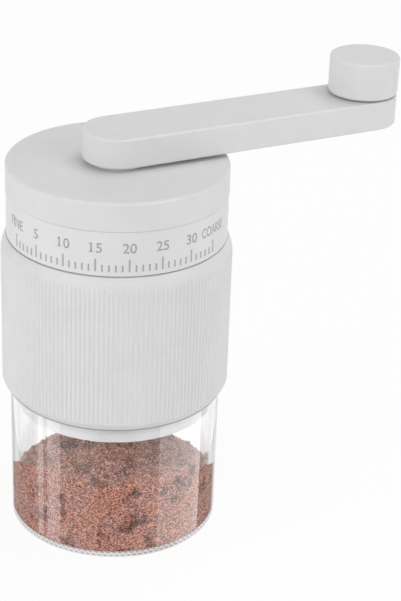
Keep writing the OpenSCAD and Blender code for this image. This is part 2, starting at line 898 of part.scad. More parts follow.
// Cap: a hollow disc with a boss for the crank and a plug that drops into the hopper
module top_cap() {
    roof_z = cap_top - cap_t;
    seal_h = cap_seal_wire / 2 + fit_gap;
    seal_seat_r = cap_seal_r - cap_seal_wire / 2 - fit_gap;
    color("gainsboro")
        rotate_extrude()
            polygon(concat(
                [
                    [cap_bush_r + fit_gap, cap_boss_z], [cap_boss_r, cap_boss_z], [cap_boss_r, roof_z],
                    [plug_r - plug_wall, roof_z], [plug_r - plug_wall, plug_z], [plug_r, plug_z],
                    [plug_r, cap_seal_z - seal_h], [seal_seat_r, cap_seal_z - seal_h],
                    [seal_seat_r, cap_seal_z + seal_h], [plug_r, cap_seal_z + seal_h],
                    [plug_r, tube_top], [tube_r, tube_top], [tube_r, roof_z],
                    [cap_r - cap_wall, roof_z], [cap_r - cap_wall, tube_top], [cap_r, tube_top]
                ],
                arc(cap_r - cap_edge, cap_top - cap_edge, cap_edge, 0, 90),
                [[cap_bush_r + fit_gap, cap_top]]
            ));
}

// Soft ring that holds the cap's plug in the hopper
module cap_seal() {
    color("white") cord_ring(cap_seal_r, cap_seal_wire, cap_seal_z);
}

// Flanged bush in which the crank's hub turns
module cap_bush() {
    color("ivory")
        difference() {
            union() {
                translate([0, 0, cap_boss_z]) cylinder(r = cap_bush_r, h = cap_top - cap_boss_z);
                translate([0, 0, cap_bush_z]) cylinder(r = cap_bush_lip_r, h = cap_bush_lip_t);
            }
            translate([0, 0, cap_bush_z - cut_over])
                cylinder(r = hub_r + run_gap, h = cap_top - cap_bush_z + 2 * cut_over);
        }
}

// Slip washer below the crank arm
module thrust_washer() {
    color("ivory") band(hub_r + run_gap, hub_r + washer_w, cap_top, arm_z - washer_play);
}

// Half of a bar's section with rounded edges, from its middle line to its side
function bar_section(half_w, z0, z1, edge) =
    concat(
        [[0, z0]],
        arc(half_w - edge, z0 + edge, edge, -90, 0),
        arc(half_w - edge, z1 - edge, edge, 0, 90),
        [[0, z1]]
    );

// Crank arm: a straight bar with round ends, soft edges and seats for the hub and the axle
module crank_arm() {
    section = bar_section(arm_r, arm_z, arm_top, arm_edge);
    color("gainsboro")
        difference() {
            union() {
                rotate([0, 0, 90]) rotate_extrude(angle = 180) polygon(section);
                translate([crank_reach, 0, 0])
                    rotate([0, 0, -90]) rotate_extrude(angle = 180) polygon(section);
                for (side = [0, 1])
                    mirror([0, side, 0])
                        rotate([90, 0, 90]) linear_extrude(crank_reach) polygon(section);
            }
            hex_bar(hub_key_af + 2 * fit_gap, arm_z - cut_over, arm_z + hub_key_h + fit_gap);
            translate([0, 0, arm_z])
                cylinder(d = hub_screw_d + 2 * fit_gap, h = hub_screw_tip + hub_screw_tail - arm_z);
            translate([crank_reach, 0, arm_z - cut_over])
                cylinder(r = axle_head_r + fit_gap, h = axle_head_top - arm_z + cut_over);
            translate([crank_reach, 0, arm_z]) cylinder(r = axle_r + fit_gap, h = arm_t + cut_over);
        }
}

// Metal hub with a hexagon key in the arm and a hexagon socket for the shaft
module crank_hub() {
    color("darkgray")
        difference() {
            union() {
                translate([0, 0, hub_z]) cylinder(r = hub_r, h = arm_z - hub_z);
                hex_bar(hub_key_af, arm_z, arm_z + hub_key_h);
            }
            hex_bar(socket_af, hub_z - cut_over, socket_top);
            translate([0, 0, socket_top - tiny])
                cylinder(d = hub_screw_head_d + 2 * run_gap, h = hub_screw_head_h + tiny);
            translate([0, 0, socket_top]) cylinder(d = hub_screw_d + 2 * run_gap, h = arm_top);
            snap_groove(hub_r - clip_depth, hub_r, hub_clip_z);
        }
}

// Screw that holds the hub to the arm, with a hexagon socket in its head
module hub_screw() {
    head_z = socket_top + fit_gap;
    color("dimgray")
        difference() {
            union() {
                translate([0, 0, head_z]) cylinder(d = hub_screw_head_d, h = hub_screw_seat - head_z);
                translate([0, 0, head_z]) cylinder(d = hub_screw_d, h = hub_screw_tip - head_z);
            }
            hex_bar(hub_screw_key_af, head_z - cut_over, head_z + hub_screw_key_h);
        }
}

// Snap ring that keeps the hub in the cap
module hub_clip() {
    color("gray") snap_ring(hub_r - clip_depth + fit_gap, hub_r + clip_w, hub_clip_z);
}

// Headed axle, pushed up through the arm
module knob_axle() {
    color("silver")
        translate([crank_reach, 0, 0])
            difference() {
                union() {
                    translate([0, 0, axle_head_z]) cylinder(r = axle_head_r, h = axle_head_h);
                    translate([0, 0, axle_head_top]) cylinder(r = axle_r, h = axle_top - axle_head_top);
                }
                snap_groove(axle_r - clip_depth, axle_r, knob_clip_z);
            }
}

// Slip washer between the arm and the knob's bush
module knob_washer() {
    color("ivory")
        translate([crank_reach, 0, 0])
            band(axle_r + run_gap, knob_bush_r - knob_washer_step, arm_top, knob_z);
}

// Snap ring that keeps the knob's bush on the axle
module knob_clip() {
    color("gray")
        translate([crank_reach, 0, 0])
            snap_ring(axle_r - clip_depth + fit_gap, axle_r + clip_w, knob_clip_z);
}

// Knob: a plain closed shell pressed over its bush
module knob() {
    cavity_r = knob_bush_r + fit_gap;
    color("gainsboro")
        translate([crank_reach, 0, 0])
            rotate_extrude()
                polygon(concat(
                    [[cavity_r, knob_z]],
                    arc(knob_r - knob_edge, knob_z + knob_edge, knob_edge, -90, 0),
                    arc(knob_r - knob_edge, knob_top - knob_edge, knob_edge, 0, 90),
                    [[0, knob_top], [0, knob_top - knob_roof], [cavity_r, knob_top - knob_roof]]
                ));
}

module knob_bush() {
    color("ivory")
        translate([crank_reach, 0, 0])
            band(axle_r + run_gap, knob_bush_r, knob_bush_z, knob_bush_top);
}

jar();
coffee_grounds();
grip_sleeve();
hopper();
burr_housing();
ring_burr();
burr_retainer();
body_screws();
jar_seal();
bearing_spider();
lower_bush();
dial_washer();
dial_clip();
dial_ring();
shaft_carrier();
cam_pins();
bearing_outer_race();
bearing_balls();
preload_spring();
drive_shaft();
bearing_inner_race();
shaft_clip();
cone_burr();
burr_washer();
burr_nut();
top_cap();
cap_seal();
cap_bush();
thrust_washer();
crank_arm();
crank_hub();
hub_screw();
hub_clip();
knob_axle();
knob_washer();
knob_clip();
knob();
knob_bush();
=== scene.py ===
"""A hand coffee grinder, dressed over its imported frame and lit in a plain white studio."""
import json
import math
import random

import bpy
from mathutils import Matrix, Vector


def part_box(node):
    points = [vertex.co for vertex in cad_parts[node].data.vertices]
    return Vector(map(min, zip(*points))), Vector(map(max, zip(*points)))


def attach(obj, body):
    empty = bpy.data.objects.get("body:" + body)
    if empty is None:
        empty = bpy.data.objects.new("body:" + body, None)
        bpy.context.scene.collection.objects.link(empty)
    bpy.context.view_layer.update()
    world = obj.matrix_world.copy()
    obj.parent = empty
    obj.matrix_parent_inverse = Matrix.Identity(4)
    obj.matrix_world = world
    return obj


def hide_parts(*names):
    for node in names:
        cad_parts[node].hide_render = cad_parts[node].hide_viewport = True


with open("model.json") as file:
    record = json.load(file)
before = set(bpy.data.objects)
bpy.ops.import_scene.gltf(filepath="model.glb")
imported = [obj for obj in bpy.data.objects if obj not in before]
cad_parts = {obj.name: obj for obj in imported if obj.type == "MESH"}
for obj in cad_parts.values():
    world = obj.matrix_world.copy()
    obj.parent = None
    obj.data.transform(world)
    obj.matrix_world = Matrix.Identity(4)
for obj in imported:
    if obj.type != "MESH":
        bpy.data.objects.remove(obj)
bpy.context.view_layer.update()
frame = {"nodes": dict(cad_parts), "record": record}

MM = 0.001


# Sizes in millimetres, read from the frame where a node gives them
def extent(node):
    """Lowest and highest corner of a CAD node, in millimetres."""
    low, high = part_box(node)
    return low / MM, high / MM


JAR_R = extent("jar")[1].x
JAR_H = extent("jar")[1].z
JAR_WALL = 1.6
JAR_DRAFT = 0.2
JAR_FLOOR = 1.2
FLOOR_EDGE = 0.6
FOOT_RING = 3.2
FOOT_RECESS = 0.15
KNURLS = 112
KNURL_Z = 0.2
KNURL_TOP = 1.9
KNURL_ROWS = 4
KNURL_DEPTH = 0.3

GRIP_R = extent("grip_sleeve")[1].x
GRIP_Z = extent("grip_sleeve")[0].z
GRIP_TOP = extent("grip_sleeve")[1].z
SKIRT_GAP = 0.4
SLEEVE_GAP = 3.85
RUN_GAP = 0.08
SKIRT_R = JAR_R + SKIRT_GAP
TUBE_R = SKIRT_R - SLEEVE_GAP
LIP_Z = GRIP_Z + 0.4
LIP_R = SKIRT_R + 0.4
LIP_TOP = GRIP_Z + 2.3
RIB_FOOT = GRIP_Z + 2.6
BEVEL_H = 3.6
BEVEL_W = 1.3
GRIP_WEB = 2.5
RIBS = 156
RIB_DEPTH = 0.25
RIB_FORM = (1.0, 0.62, 0.1, 0.0, 0.1, 0.62)

DIAL_R = extent("dial_ring")[1].x
DIAL_Z = extent("dial_ring")[0].z - 0.25
DIAL_TOP = extent("dial_ring")[1].z + 0.1
DIAL_BORE_R = TUBE_R + RUN_GAP
DIAL_RECESS_R = 26.6
DIAL_RECESS_Z = 91.7

CAP_R = extent("top_cap")[1].x
CAP_TOP = extent("top_cap")[1].z
PLUG_Z = extent("top_cap")[0].z
RIM_Z = extent("hopper")[1].z
CAP_EDGE = 0.8
CAP_ROOF_Z = CAP_TOP - 3
PLUG_R = 21.7

ARM_R = extent("crank_arm")[1].y
ARM_Z = extent("crank_arm")[0].z
ARM_TOP = extent("crank_arm")[1].z
REACH = extent("crank_arm")[1].x - ARM_R
ARM_EDGE = 0.6

KNOB_R = extent("knob")[1].y
KNOB_Z = extent("knob")[0].z
KNOB_TOP = extent("knob")[1].z
KNOB_EDGE = 0.7


# Modelling helpers
def only(piece):
    """Leaves one piece selected and active, in object mode."""
    if bpy.context.object and bpy.context.object.mode != "OBJECT":
        bpy.ops.object.mode_set(mode="OBJECT")
    bpy.ops.object.select_all(action="DESELECT")
    piece.select_set(True)
    bpy.context.view_layer.objects.active = piece
    return piece


def named(name):
    """Names the piece that was just added."""
    piece = bpy.context.object
    piece.name = name
    piece.data.name = name
    return piece


def place_in_mesh(piece):
    """Moves the piece's place, turn and scale into its mesh."""
    only(piece)
    bpy.ops.object.transform_apply(location=True, rotation=True, scale=True)
    return piece


def weld(piece):
    """Merges doubled points and turns every face outwards."""
    only(piece)
    bpy.ops.object.mode_set(mode="EDIT")
    bpy.ops.mesh.select_all(action="SELECT")
    bpy.ops.mesh.remove_doubles(threshold=0.001 * MM)
    bpy.ops.mesh.normals_make_consistent(inside=False)
    bpy.ops.object.mode_set(mode="OBJECT")
    return piece


def pick(piece, test):
    """Selects, in edit mode, the points whose place in millimetres passes the test."""
    only(piece)
    bpy.ops.object.mode_set(mode="EDIT")
    bpy.ops.mesh.select_mode(type="VERT")
    bpy.ops.mesh.select_all(action="DESELECT")
    bpy.ops.object.mode_set(mode="OBJECT")
    for point in piece.data.vertices:
        point.select = test(point.co / MM)
    bpy.ops.object.mode_set(mode="EDIT")


def smooth(piece, angle=32):
    """Smooth shading that keeps sharp edges, and keeps broad faces flat up to their rounded edges."""
    only(piece)
    bpy.ops.object.shade_smooth_by_angle(angle=math.radians(angle))
    flat = piece.modifiers.new("broad_faces", "WEIGHTED_NORMAL")
    flat.keep_sharp = True
    bpy.ops.object.modifier_apply(modifier=flat.name)
    return piece


def apply_modifiers(piece):
    """Makes the piece's modifiers part of its mesh."""
    only(piece)
    for modifier in list(piece.modifiers):
        bpy.ops.object.modifier_apply(modifier=modifier.name)
    return piece


def arc(r, z, radius, start, end, steps=6):
    """Points of an arc in a profile of radius and height, its angles in degrees."""
    turn = [math.radians(start + (end - start) * k / steps) for k in range(steps + 1)]
    return [(r + radius * math.cos(a), z + radius * math.sin(a)) for a in turn]


def turned(name, profile, steps):
    """Draws a profile point by point, as (radius, height), and spins it about the main axis."""
    bpy.ops.object.select_all(action="DESELECT")
    bpy.ops.mesh.primitive_plane_add(size=MM)
    piece = named(name)
    bpy.ops.object.mode_set(mode="EDIT")
    bpy.ops.mesh.merge(type="CENTER")
    r, z = profile[0]
    bpy.ops.transform.translate(value=(r * MM, 0, z * MM))
    for (r0, z0), (r1, z1) in zip(profile, profile[1:]):
        step = ((r1 - r0) * MM, 0, (z1 - z0) * MM)
        bpy.ops.mesh.extrude_region_move(TRANSFORM_OT_translate={"value": step})
    bpy.ops.mesh.select_all(action="SELECT")
    bpy.ops.mesh.spin(steps=steps, angle=math.tau, center=(0, 0, 0), axis=(0, 0, 1))
    bpy.ops.object.mode_set(mode="OBJECT")
    return weld(piece)


def drilled(piece, sides, radius, x, z0, z1, turn=0):
    """Cuts an upright hole of so many sides into the piece."""
    bpy.ops.object.select_all(action="DESELECT")
    bpy.ops.mesh.primitive_cylinder_add(
        vertices=sides, radius=radius * MM, depth=(z1 - z0) * MM,
        location=(x * MM, 0, (z0 + z1) / 2 * MM), rotation=(0, 0, math.radians(turn)),
    )
    cutter = place_in_mesh(named("cutter"))
    cut = piece.modifiers.new("hole", "BOOLEAN")
    cut.operation = "DIFFERENCE"
    cut.solver = "EXACT"
    cut.object = cutter
    apply_modifiers(piece)
    bpy.data.objects.remove(cutter)
    return piece


def finish_piece(piece, material, body, *nodes):
    """Gives a piece its finish and its body, and hides the CAD nodes that it stands for."""
    piece.data.materials.clear()
    piece.data.materials.append(material)
    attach(piece, body)
    if nodes:
        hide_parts(*nodes)
    return piece


# Shader helpers
def add(tree, kind, values=None, **settings):
    """Adds a node, sets its properties, and sets or links its inputs by name."""
    node = tree.nodes.new(kind)
    for key, value in settings.items():
        setattr(node, key, value)
    for key, value in (values or {}).items():
        if isinstance(value, bpy.types.NodeSocket):
            tree.links.new(value, node.inputs[key])
        else:
            node.inputs[key].default_value = value
    return node


def shared_group(name, inputs, outputs):
    """An empty shader node group with named number inputs and named outputs."""
    tree = bpy.data.node_groups.new(name, "ShaderNodeTree")
    for label, default in inputs.items():
        socket = tree.interface.new_socket(name=label, in_out="INPUT", socket_type="NodeSocketFloat")
        socket.default_value = default
    for label in outputs:
        tree.interface.new_socket(name=label, in_out="OUTPUT", socket_type="NodeSocketFloat")
    return tree, add(tree, "NodeGroupInput"), add(tree, "NodeGroupOutput")


def in_millimetres(tree):
    """Object coordinates, scaled so that a texture's scale counts per millimetre."""
    place = add(tree, "ShaderNodeTexCoord").outputs["Object"]
    scaled = add(tree, "ShaderNodeVectorMath", {0: place}, operation="SCALE")
    scaled.inputs["Scale"].default_value = 1 / MM
    return scaled.outputs["Vector"]


def moulded_skin():
    """Moulded plastic: a cloudy tint, a fine even grain, and a roughness that follows both."""
    tree, given, made = shared_group("moulded_skin", {"Grain": 6.0}, ("Tint", "Roughness", "Height"))
    place = in_millimetres(tree)
    cloud = add(tree, "ShaderNodeTexNoise", {"Vector": place, "Scale": 0.12, "Detail": 3.0})
    grain = add(tree, "ShaderNodeTexNoise", {"Vector": place, "Scale": given.outputs["Grain"], "Detail": 2.0})
    both = add(tree, "ShaderNodeMath", {0: cloud.outputs["Fac"], 1: grain.outputs["Fac"]}, operation="ADD")
    rough = add(tree, "ShaderNodeMapRange", {
        "Value": both.outputs[0], "From Min": 0.6, "From Max": 1.4, "To Min": 0.40, "To Max": 0.52,
    })
    tree.links.new(cloud.outputs["Fac"], made.inputs["Tint"])
    tree.links.new(rough.outputs["Result"], made.inputs["Roughness"])
    tree.links.new(grain.outputs["Fac"], made.inputs["Height"])
    return tree


def turned_marks():
    """Machined metal: fine rings that follow radius and height, and a few wider bands."""
    tree, given, made = shared_group("turned_marks", {"Lines": 5.0}, ("Shade", "Roughness", "Height"))
    place = in_millimetres(tree)
    apart = add(tree, "ShaderNodeSeparateXYZ", {"Vector": place})
    flat = add(tree, "ShaderNodeCombineXYZ", {"X": apart.outputs["X"], "Y": apart.outputs["Y"]})
    radius = add(tree, "ShaderNodeVectorMath", {0: flat.outputs["Vector"]}, operation="LENGTH")
    track = add(tree, "ShaderNodeCombineXYZ", {"X": radius.outputs["Value"], "Y": apart.outputs["Z"]})
    lines = add(tree, "ShaderNodeTexNoise", {
        "Vector": track.outputs["Vector"], "Scale": given.outputs["Lines"], "Detail": 3.0,
    })
    cloud = add(tree, "ShaderNodeTexNoise", {"Vector": place, "Scale": 0.4, "Detail": 3.0})
    both = add(tree, "ShaderNodeMath", {
        0: cloud.outputs["Fac"], 1: lines.outputs["Fac"],
    }, operation="MULTIPLY")
    rough = add(tree, "ShaderNodeMapRange", {
        "Value": both.outputs[0], "From Min": 0.1, "From Max": 0.45, "To Min": 0.22, "To Max": 0.42,
    })
    tree.links.new(both.outputs[0], made.inputs["Shade"])
    tree.links.new(rough.outputs["Result"], made.inputs["Roughness"])
    tree.links.new(lines.outputs["Fac"], made.inputs["Height"])
    return tree


def blank_material(name):
    """A material with only its Principled BSDF and its output."""
    material = bpy.data.materials.new(name)
    material.use_nodes = True
    tree = material.node_tree
    tree.nodes.clear()
    surface = add(tree, "ShaderNodeBsdfPrincipled")
    output = add(tree, "ShaderNodeOutputMaterial", {"Surface": surface.outputs["BSDF"]})
    return material, tree, surface, output


def two_tone(tree, factor, dark, light, low=0.3, high=0.7):
    """A colour between dark and light, led by a factor."""
    ramp = add(tree, "ShaderNodeValToRGB", {"Fac": factor})
    ramp.color_ramp.elements[0].position = low
    ramp.color_ramp.elements[0].color = (*dark, 1)
    ramp.color_ramp.elements[1].position = high
    ramp.color_ramp.elements[1].color = (*light, 1)
    return ramp.outputs["Color"]


def add_relief(tree, surface, height, strength, depth):
    """Bumps on a surface that follow a height, so many millimetres deep."""
    bump = add(tree, "ShaderNodeBump", {"Strength": strength, "Distance": depth * MM, "Height": height})
    tree.links.new(bump.outputs["Normal"], surface.inputs["Normal"])


def plastic(name, dark, light, grain=6.0, relief=0.02):
    """Matte moulded plastic between two close tints."""
    material, tree, surface, output = blank_material(name)
    skin = add(tree, "ShaderNodeGroup", node_tree=SKIN)
    skin.inputs["Grain"].default_value = grain
    tree.links.new(two_tone(tree, skin.outputs["Tint"], dark, light), surface.inputs["Base Color"])
    tree.links.new(skin.outputs["Roughness"], surface.inputs["Roughness"])
    add_relief(tree, surface, skin.outputs["Height"], 0.25, relief)
    return material


def metal(name, dark, light, lines=5.0, relief=0.01):
    """Machined metal between two tints."""
    material, tree, surface, output = blank_material(name)
    surface.inputs["Metallic"].default_value = 1
    marks = add(tree, "ShaderNodeGroup", node_tree=MARKS)
    marks.inputs["Lines"].default_value = lines
    tint = two_tone(tree, marks.outputs["Shade"], dark, light, 0.12, 0.42)
    tree.links.new(tint, surface.inputs["Base Color"])
    tree.links.new(marks.outputs["Roughness"], surface.inputs["Roughness"])
    add_relief(tree, surface, marks.outputs["Height"], 0.4, relief)
    return material


PLASTIC_IOR = 1.49
WALL_DIMMING = 7.0
WALL_FRONT = (0.998, 0.998, 0.998)
WALL_EDGE = (0.58, 0.58, 0.58)


def clear_plastic(name):
    """Clear jar: polished, dimmer where the eye looks along its wall, and open to the lamps' light."""
    material, tree, surface, output = blank_material(name)
    slant = add(tree, "ShaderNodeLayerWeight", {"Blend": 0.5})
    tint = two_tone(tree, slant.outputs["Facing"], WALL_FRONT, WALL_EDGE, 0.78, 0.88)
    tree.links.new(tint, surface.inputs["Base Color"])
    surface.inputs["Transmission Weight"].default_value = 1
    surface.inputs["IOR"].default_value = PLASTIC_IOR
    surface.inputs["Specular IOR Level"].default_value = 0.6
    skin = add(tree, "ShaderNodeGroup", node_tree=SKIN)
    skin.inputs["Grain"].default_value = 2.0
    polish = add(tree, "ShaderNodeMapRange", {
        "Value": skin.outputs["Roughness"],
        "From Min": 0.40, "From Max": 0.52, "To Min": 0.01, "To Max": 0.035,
    })
    tree.links.new(polish.outputs["Result"], surface.inputs["Roughness"])
    through = add(tree, "ShaderNodeBsdfTransparent", {"Color": (0.985, 0.987, 0.99, 1)})
    path = add(tree, "ShaderNodeLightPath")
    mix = add(tree, "ShaderNodeMixShader", {0: path.outputs["Is Shadow Ray"]})
    tree.links.new(surface.outputs["BSDF"], mix.inputs[1])
    tree.links.new(through.outputs["BSDF"], mix.inputs[2])
    tree.links.new(mix.outputs["Shader"], output.inputs["Surface"])
    depth = add(tree, "ShaderNodeVolumeAbsorption", {"Color": (0.5, 0.5, 0.5, 1), "Density": WALL_DIMMING})
    tree.links.new(depth.outputs["Volume"], output.inputs["Volume"])
    return material


def frosted_plastic(name):
    """The jar's knurled heel: the same plastic with a frosted skin, and painted shade that darkens it down in
    its small pits.
    """
    material, tree, surface, output = blank_material(name)
    skin = add(tree, "ShaderNodeGroup", node_tree=SKIN)
    skin.inputs["Grain"].default_value = 3.0
    flat = add(tree, "ShaderNodeVectorMath", {0: in_millimetres(tree), 1: (1, 1, 0)}, operation="MULTIPLY")
    radius = add(tree, "ShaderNodeVectorMath", {0: flat.outputs["Vector"]}, operation="LENGTH")
    heel_r = JAR_R - JAR_DRAFT
    height = add(tree, "ShaderNodeMapRange", {
        "Value": radius.outputs["Value"], "From Min": heel_r - KNURL_DEPTH, "From Max": heel_r,
    })
    # Painted shade: the heel's colour goes from light on its face to dark deep in the pits.
    tint = two_tone(tree, height.outputs["Result"], (0.24, 0.235, 0.23), (0.88, 0.87, 0.865), 0.1, 0.75)
    tree.links.new(tint, surface.inputs["Base Color"])
    tree.links.new(skin.outputs["Roughness"], surface.inputs["Roughness"])
    surface.inputs["Transmission Weight"].default_value = 0.35
    surface.inputs["IOR"].default_value = PLASTIC_IOR
    return material


# The darkest stop colours the darkest grains and also the painted shade of the voids.
DARKEST_GRAIN_AND_VOID_SHADE = (0.075, 0.050, 0.044, 1)
MIDDLE_GRAINS = ((0.3, (0.245, 0.115, 0.092, 1)), (0.65, (0.50, 0.245, 0.197, 1)))
LIGHTEST_GRAIN = (0.74, 0.44, 0.37, 1)
RED_DRIFT = (1.0, 1.0, 1.02)
ORANGE_DRIFT = (1.10, 0.97, 0.84)


def ground_coffee(name):
    """Coffee grounds: grains of several browns, some more orange, and darker patches of painted shade for the
    voids between clumps.
    """
    material, tree, surface, output = blank_material(name)
    place = in_millimetres(tree)
    grains = add(tree, "ShaderNodeTexVoronoi", {"Vector": place, "Scale": 3.2, "Randomness": 1.0})
    tone = add(tree, "ShaderNodeSeparateColor", {"Color": grains.outputs["Color"]})
    patches = add(tree, "ShaderNodeTexNoise", {
        "Vector": place, "Scale": 0.22, "Detail": 4.0, "Roughness": 0.6,
    })
    # Painted shade: noise patches pull the grains down to the darkest stop, standing for shaded voids between
    # clumps.
    dim = add(tree, "ShaderNodeMapRange", {
        "Value": patches.outputs["Fac"], "From Min": 0.33, "From Max": 0.44, "To Min": -0.5, "To Max": 0.06,
    })
    level = add(tree, "ShaderNodeMath", {0: tone.outputs["Red"], 1: dim.outputs["Result"]}, operation="ADD")
    ramp = add(tree, "ShaderNodeValToRGB", {"Fac": level.outputs[0]})
    stops = ramp.color_ramp.elements
    stops[0].position = 0.0
    stops[0].color = DARKEST_GRAIN_AND_VOID_SHADE
    stops[1].position = 1.0
    stops[1].color = LIGHTEST_GRAIN
    for position, colour in MIDDLE_GRAINS:
        stops.new(position).color = colour
    drift = add(tree, "ShaderNodeTexNoise", {"Vector": place, "Scale": 0.16, "Detail": 3.0})
    warmth = two_tone(tree, drift.outputs["Fac"], RED_DRIFT, ORANGE_DRIFT, 0.38, 0.62)
    shade = add(tree, "ShaderNodeVectorMath", {0: ramp.outputs["Color"], 1: warmth}, operation="MULTIPLY")
    tree.links.new(shade.outputs["Vector"], surface.inputs["Base Color"])
    rough = add(tree, "ShaderNodeMapRange", {
        "Value": tone.outputs["Green"], "From Min": 0.0, "From Max": 1.0, "To Min": 0.6, "To Max": 0.95,
    })
    tree.links.new(rough.outputs["Result"], surface.inputs["Roughness"])
    add_relief(tree, surface, tone.outputs["Blue"], 0.7, 0.25)
    return material


SKIN = moulded_skin()
MARKS = turned_marks()
FINISH = {
    "white_plastic": plastic("white_plastic", (0.664, 0.664, 0.666), (0.692, 0.692, 0.694)),
    "grip_plastic": plastic("grip_plastic", (0.668, 0.668, 0.670), (0.696, 0.696, 0.698)),
    "dial_plastic": plastic("dial_plastic", (0.690, 0.690, 0.692), (0.712, 0.712, 0.714)),
    # inner_plastic is lighter than the other whites: this is painted light that lifts the collar, which sits
    # in the grip's shade inside the jar.
    "inner_plastic": plastic("inner_plastic", (0.71, 0.71, 0.71), (0.74, 0.74, 0.74)),
    "slip_plastic": plastic("slip_plastic", (0.60, 0.60, 0.595), (0.64, 0.64, 0.635), 3.0),
    "seal_rubber": plastic("seal_rubber", (0.60, 0.60, 0.60), (0.66, 0.66, 0.66), 3.0, 0.03),
    "clear_plastic": clear_plastic("clear_plastic"),
    "burr_steel": metal("burr_steel", (0.36, 0.36, 0.37), (0.56, 0.56, 0.57), 3.0),
    "shaft_steel": metal("shaft_steel", (0.46, 0.46, 0.47), (0.66, 0.66, 0.67), 8.0),
    "dark_steel": metal("dark_steel", (0.10, 0.10, 0.11), (0.20, 0.20, 0.21), 6.0),
    "bush_brass": metal("bush_brass", (0.52, 0.36, 0.15), (0.72, 0.53, 0.25), 6.0),
    "ground_coffee": ground_coffee("ground_coffee"),
}
FROST_AND_PIT_SHADE = frosted_plastic("frosted_plastic")
# Painted shade: a dark grey for the thin ring that draws the shadow line under the grip's foot.
PAINTED_SHADOW_GREY = plastic("painted_shadow_grey", (0.30, 0.30, 0.305), (0.34, 0.34, 0.345), 3.0, 0.02)
INK = plastic("dial_ink", (0.36, 0.36, 0.365), (0.40, 0.40, 0.405), 8.0, 0.005)

for part in frame["record"]["subparts"]:
    cad_node = frame["nodes"].get(part["node"])
    if cad_node:
        cad_node.data.materials.clear()
        cad_node.data.materials.append(FINISH[part["material_slot"]])


# Clear jar with a knurled heel
def jar_inside(grown=0.0):
    """The jar's inner profile from its rim down to the middle of its floor."""
    rim_r = JAR_R - JAR_WALL + grown
    base_r = rim_r - JAR_DRAFT
    return [(rim_r, JAR_H)] + arc(
        base_r - FLOOR_EDGE, JAR_FLOOR - grown + FLOOR_EDGE, FLOOR_EDGE, 0, -90, 8
    ) + [(0, JAR_FLOOR - grown)]


def make_jar():
    """The jar: a spun wall with a recessed foot, and small pyramids pressed into its heel."""
    base_r = JAR_R - JAR_DRAFT
    foot_r = base_r - FOOT_RING
    row_h = (KNURL_TOP - KNURL_Z) / KNURL_ROWS
    heel = [(base_r, KNURL_Z + row_h * k) for k in range(KNURL_ROWS + 1)]
    lip = 0.5
    rim = arc(JAR_R - lip, JAR_H - lip, lip, 0, 90, 9)
    rim += arc(JAR_R - JAR_WALL + lip, JAR_H - lip, lip, 90, 180, 9)
    profile = [(0, FOOT_RECESS), (foot_r, FOOT_RECESS), (foot_r + FOOT_RECESS, 0), (base_r - 0.3, 0)] + heel
    profile += [(base_r + 0.01, KNURL_TOP + 0.12), (base_r + 0.06, KNURL_TOP + 0.3)] + rim + jar_inside()[1:]
    jar = turned("clear_jar", profile, 2 * KNURLS)

    def pit(place):
        """True at the middle of each small pyramid that is pressed into the heel, in two staggered rows."""
        row = round((place.z - KNURL_Z) / row_h)
        if place.xy.length < base_r - 0.1 or place.z > KNURL_TOP - row_h / 2 or row % 2 == 0:
            return False
        column = round(math.degrees(math.atan2(place.y, place.x)) * KNURLS / 180)
        return (column + row // 2) % 2 == 0

    pick(jar, pit)
    inward = 1 - KNURL_DEPTH / base_r
    bpy.ops.transform.resize(value=(inward, inward, 1), center_override=(0, 0, 0))
    bpy.ops.object.mode_set(mode="OBJECT")
    smooth(jar, 13)
    finish_piece(jar, FINISH["clear_plastic"], "jar", "jar")
    jar.data.materials.append(FROST_AND_PIT_SHADE)
    pick(jar, lambda place: place.z < KNURL_TOP + 0.05 and place.xy.length > base_r - 0.5)
    jar.active_material_index = 1
    bpy.ops.object.material_slot_assign()
    bpy.ops.object.mode_set(mode="OBJECT")
    return jar


# Coffee grounds heaped in the jar and banked up to one side
HEAP_TOP = extent("coffee_grounds")[1].z
HEAP_LOW_RIM = 6.0
HEAP_BANK = 16.0
HEAP_CLING = 0.18
HEAP_HEADING = math.radians(-115)
HEAP_PRESS = 0.1
HEAP_ROUND = 0.012
HEAP_RELIEF = (("slump", 9.0, 2.4), ("clumps", 2.2, 1.5), ("grains", 0.55, 0.75))
CRUMBS = 420
CRUMB_R = 0.5
CRUMB_REACH = 25.3
WALL_CRUMBS = 14
WALL_CRUMB_TURN = (58, 92)
WALL_CRUMB_RISE = (0.2, 1.8)


